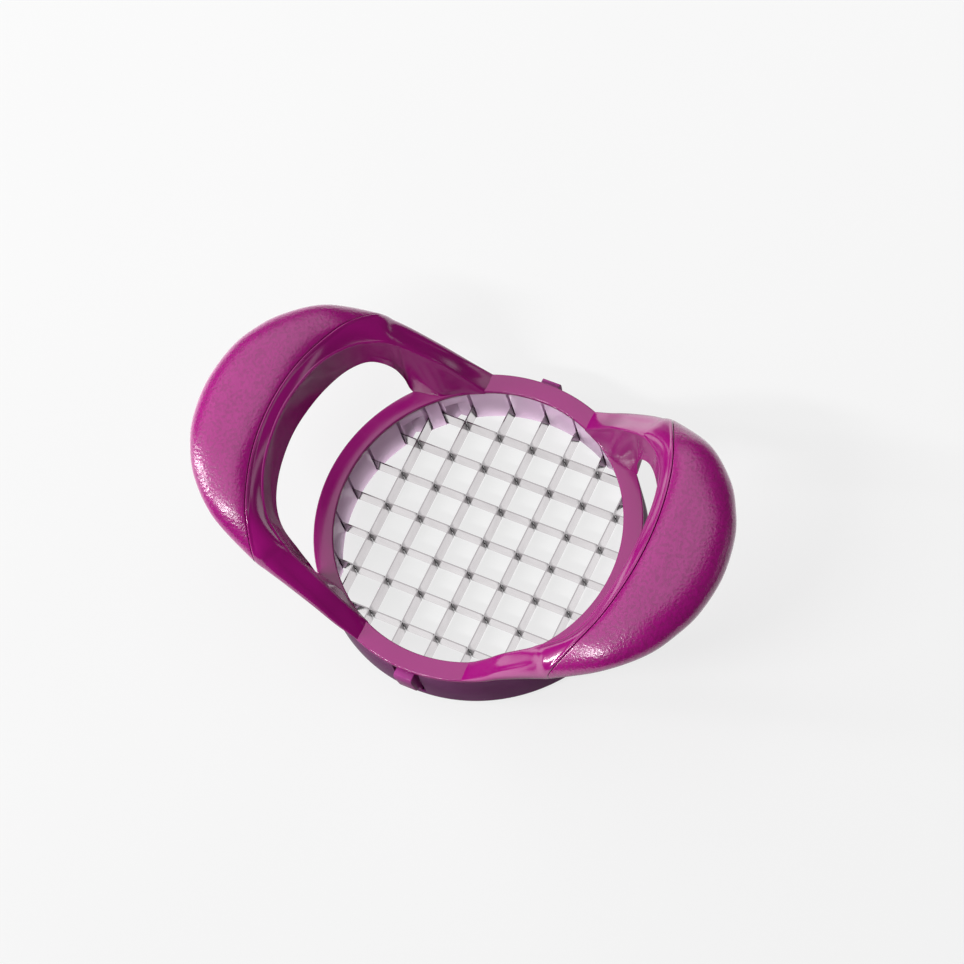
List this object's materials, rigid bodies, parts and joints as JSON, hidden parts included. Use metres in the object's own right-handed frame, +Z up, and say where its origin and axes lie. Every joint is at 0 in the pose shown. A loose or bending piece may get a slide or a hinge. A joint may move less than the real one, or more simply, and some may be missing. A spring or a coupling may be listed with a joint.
{
  "type": "egg slicer",
  "caption": "Hand-press grid slicer: crossed steel strips in a clear round ring, under a lift-off purple frame with two raised loop handles with soft grips.",
  "frame": {"origin": "on the surface the tool stands on, at the axis of the round blade ring", "axes": "+Z up along the ring's axis, +X along the two handles, +Y across them through the latch tabs"},
  "size_m": [0.181, 0.1128, 0.0633],
  "materials": {
    "purple_gloss": "glossy moulded plastic",
    "purple_grip": "satin with a fine leather-like grain",
    "clear_violet": "clear violet plastic, polished",
    "steel": "polished stainless strip"
  },
  "bodies": {
    "ring": {"blade_ring": "clear_violet", "blade_x1": "steel", "blade_x2": "steel", "blade_x3": "steel", "blade_x4": "steel", "blade_x5": "steel", "blade_x6": "steel", "blade_x7": "steel", "blade_y1": "steel", "blade_y2": "steel", "blade_y3": "steel", "blade_y4": "steel", "blade_y5": "steel", "blade_y6": "steel", "blade_y7": "steel"},
    "frame": {"frame": "purple_gloss", "grip_right": "purple_grip", "grip_left": "purple_grip"},
    "latch_front": {"latch_tab_front": "clear_violet"},
    "latch_back": {"latch_tab_back": "clear_violet"}
  },
  "joints": [
    {"name": "frame_lift", "type": "slide", "parent": "ring", "child": "frame", "axis": [0, 0, 1], "range_m": [0, 0.03]},
    {"name": "latch_front_press", "type": "hinge", "parent": "ring", "child": "latch_front", "pos_m": [0, -0.053, 0.005], "axis": [-1, 0, 0], "range_deg": [0, 4], "stiffness_Nm_per_rad": 1},
    {"name": "latch_back_press", "type": "hinge", "parent": "ring", "child": "latch_back", "pos_m": [0, 0.053, 0.005], "axis": [1, 0, 0], "range_deg": [0, 4], "stiffness_Nm_per_rad": 1}
  ]
}
